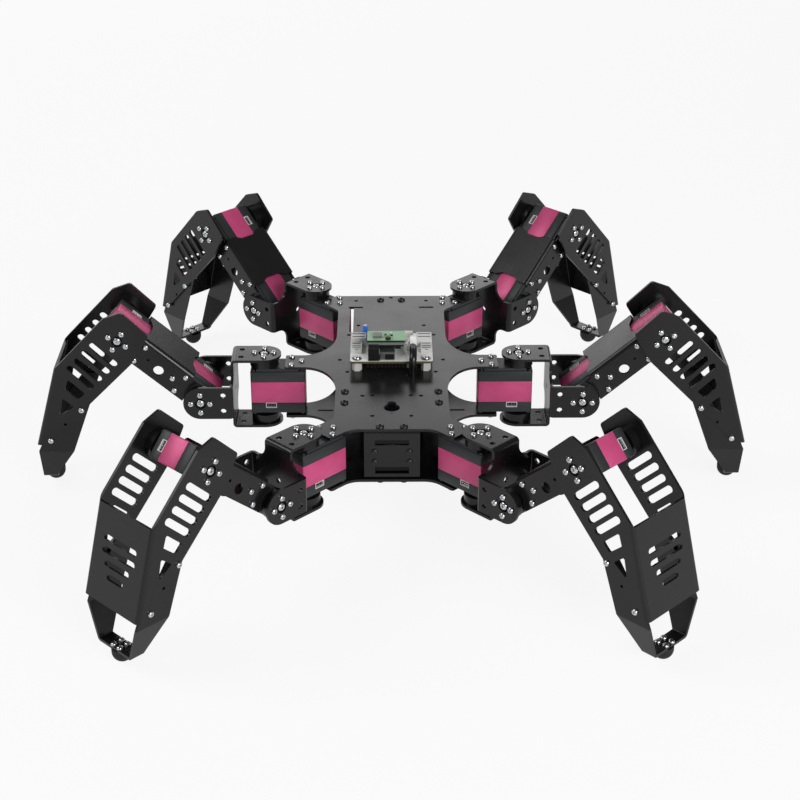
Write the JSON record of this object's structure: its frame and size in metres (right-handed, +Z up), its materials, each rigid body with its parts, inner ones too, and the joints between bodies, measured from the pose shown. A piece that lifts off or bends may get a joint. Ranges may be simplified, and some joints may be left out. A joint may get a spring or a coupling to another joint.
{
  "type": "hexapod robot",
  "caption": "Walking spider robot kit: folded sheet legs jointed by pink-banded bus servos round a flat plated body with a controller board on top.",
  "frame": {"origin": "on the floor, under the middle of the body", "axes": "+Z up from the floor; -Y towards the louvred front panel; +X to the side that is on the right of someone who looks at the front"},
  "size_m": [0.5216, 0.5186, 0.148],
  "materials": {
    "black_sheet": "folded aluminium sheet, anodised black, satin",
    "servo_case": "raspberry anodised middle case between black moulded end covers",
    "foot_rubber": "moulded black rubber",
    "board_white": "circuit board with white solder mask",
    "board_green": "circuit board with green solder mask",
    "nylon_white": "natural nylon",
    "socket_white": "moulded white connector",
    "part_black": "moulded black components",
    "lead_black": "black sleeve",
    "battery_wrap": "heat-shrink wrap"
  },
  "bodies": {
    "chassis": {"battery_pack": "battery_wrap", "board_parts": "part_black", "board_standoffs": "nylon_white", "bottom_plate": "black_sheet", "controller_board": "board_white", "front_left_coxa_servo": "servo_case", "front_panel": "black_sheet", "front_right_coxa_servo": "servo_case", "middle_left_coxa_servo": "servo_case", "middle_right_coxa_servo": "servo_case", "power_lead": "lead_black", "rear_left_coxa_servo": "servo_case", "rear_panel": "black_sheet", "rear_right_coxa_servo": "servo_case", "servo_sockets": "socket_white", "side_panels": "black_sheet", "small_board": "board_green", "top_plate": "black_sheet"},
    "front_left_coxa": {"front_left_cross_bracket": "black_sheet"},
    "front_left_femur": {"front_left_femur_frame": "black_sheet", "front_left_hip_servo": "servo_case", "front_left_knee_servo": "servo_case"},
    "front_left_tibia": {"front_left_tibia_shell": "black_sheet", "front_left_foot_bracket": "black_sheet", "front_left_foot_ball": "foot_rubber"},
    "front_right_coxa": {"front_right_cross_bracket": "black_sheet"},
    "front_right_femur": {"front_right_femur_frame": "black_sheet", "front_right_hip_servo": "servo_case", "front_right_knee_servo": "servo_case"},
    "front_right_tibia": {"front_right_tibia_shell": "black_sheet", "front_right_foot_bracket": "black_sheet", "front_right_foot_ball": "foot_rubber"},
    "middle_left_coxa": {"middle_left_cross_bracket": "black_sheet"},
    "middle_left_femur": {"middle_left_femur_frame": "black_sheet", "middle_left_hip_servo": "servo_case", "middle_left_knee_servo": "servo_case"},
    "middle_left_tibia": {"middle_left_tibia_shell": "black_sheet", "middle_left_foot_bracket": "black_sheet", "middle_left_foot_ball": "foot_rubber"},
    "middle_right_coxa": {"middle_right_cross_bracket": "black_sheet"},
    "middle_right_femur": {"middle_right_femur_frame": "black_sheet", "middle_right_hip_servo": "servo_case", "middle_right_knee_servo": "servo_case"},
    "middle_right_tibia": {"middle_right_tibia_shell": "black_sheet", "middle_right_foot_bracket": "black_sheet", "middle_right_foot_ball": "foot_rubber"},
    "rear_left_coxa": {"rear_left_cross_bracket": "black_sheet"},
    "rear_left_femur": {"rear_left_femur_frame": "black_sheet", "rear_left_hip_servo": "servo_case", "rear_left_knee_servo": "servo_case"},
    "rear_left_tibia": {"rear_left_tibia_shell": "black_sheet", "rear_left_foot_bracket": "black_sheet", "rear_left_foot_ball": "foot_rubber"},
    "rear_right_coxa": {"rear_right_cross_bracket": "black_sheet"},
    "rear_right_femur": {"rear_right_femur_frame": "black_sheet", "rear_right_hip_servo": "servo_case", "rear_right_knee_servo": "servo_case"},
    "rear_right_tibia": {"rear_right_tibia_shell": "black_sheet", "rear_right_foot_bracket": "black_sheet", "rear_right_foot_ball": "foot_rubber"}
  },
  "joints": [
    {"name": "front_left_swing", "type": "hinge", "parent": "chassis", "child": "front_left_coxa", "pos_m": [-0.0595, -0.123, 0.07602], "axis": [0, 0, 1], "range_deg": [-30, 30]},
    {"name": "front_left_lift", "type": "hinge", "parent": "front_left_coxa", "child": "front_left_femur", "pos_m": [-0.09167, -0.15517, 0.07602], "axis": [-0.7071, 0.7071, 0], "range_deg": [-35, 45]},
    {"name": "front_left_knee", "type": "hinge", "parent": "front_left_femur", "child": "front_left_tibia", "pos_m": [-0.13197, -0.19547, 0.126], "axis": [-0.7071, 0.7071, 0], "range_deg": [-45, 60]},
    {"name": "front_right_swing", "type": "hinge", "parent": "chassis", "child": "front_right_coxa", "pos_m": [0.0595, -0.123, 0.07602], "axis": [0, 0, -1], "range_deg": [-30, 30]},
    {"name": "front_right_lift", "type": "hinge", "parent": "front_right_coxa", "child": "front_right_femur", "pos_m": [0.09167, -0.15517, 0.07602], "axis": [-0.7071, -0.7071, 0], "range_deg": [-35, 45]},
    {"name": "front_right_knee", "type": "hinge", "parent": "front_right_femur", "child": "front_right_tibia", "pos_m": [0.13197, -0.19547, 0.126], "axis": [-0.7071, -0.7071, 0], "range_deg": [-45, 60]},
    {"name": "middle_left_swing", "type": "hinge", "parent": "chassis", "child": "middle_left_coxa", "pos_m": [-0.0933, 0, 0.07602], "axis": [0, 0, 1], "range_deg": [-30, 30]},
    {"name": "middle_left_lift", "type": "hinge", "parent": "middle_left_coxa", "child": "middle_left_femur", "pos_m": [-0.1388, 0, 0.07602], "axis": [0, 1, 0], "range_deg": [-35, 45]},
    {"name": "middle_left_knee", "type": "hinge", "parent": "middle_left_femur", "child": "middle_left_tibia", "pos_m": [-0.19579, 0, 0.126], "axis": [0, 1, 0], "range_deg": [-45, 60]},
    {"name": "middle_right_swing", "type": "hinge", "parent": "chassis", "child": "middle_right_coxa", "pos_m": [0.0933, 0, 0.07602], "axis": [0, 0, -1], "range_deg": [-30, 30]},
    {"name": "middle_right_lift", "type": "hinge", "parent": "middle_right_coxa", "child": "middle_right_femur", "pos_m": [0.1388, 0, 0.07602], "axis": [0, -1, 0], "range_deg": [-35, 45]},
    {"name": "middle_right_knee", "type": "hinge", "parent": "middle_right_femur", "child": "middle_right_tibia", "pos_m": [0.19579, 0, 0.126], "axis": [0, -1, 0], "range_deg": [-45, 60]},
    {"name": "rear_left_swing", "type": "hinge", "parent": "chassis", "child": "rear_left_coxa", "pos_m": [-0.0595, 0.123, 0.07602], "axis": [0, 0, 1], "range_deg": [-30, 30]},
    {"name": "rear_left_lift", "type": "hinge", "parent": "rear_left_coxa", "child": "rear_left_femur", "pos_m": [-0.09167, 0.15517, 0.07602], "axis": [0.7071, 0.7071, 0], "range_deg": [-35, 45]},
    {"name": "rear_left_knee", "type": "hinge", "parent": "rear_left_femur", "child": "rear_left_tibia", "pos_m": [-0.13197, 0.19547, 0.126], "axis": [0.7071, 0.7071, 0], "range_deg": [-45, 60]},
    {"name": "rear_right_swing", "type": "hinge", "parent": "chassis", "child": "rear_right_coxa", "pos_m": [0.0595, 0.123, 0.07602], "axis": [0, 0, -1], "range_deg": [-30, 30]},
    {"name": "rear_right_lift", "type": "hinge", "parent": "rear_right_coxa", "child": "rear_right_femur", "pos_m": [0.09167, 0.15517, 0.07602], "axis": [0.7071, -0.7071, 0], "range_deg": [-35, 45]},
    {"name": "rear_right_knee", "type": "hinge", "parent": "rear_right_femur", "child": "rear_right_tibia", "pos_m": [0.13197, 0.19547, 0.126], "axis": [0.7071, -0.7071, 0], "range_deg": [-45, 60]}
  ]
}
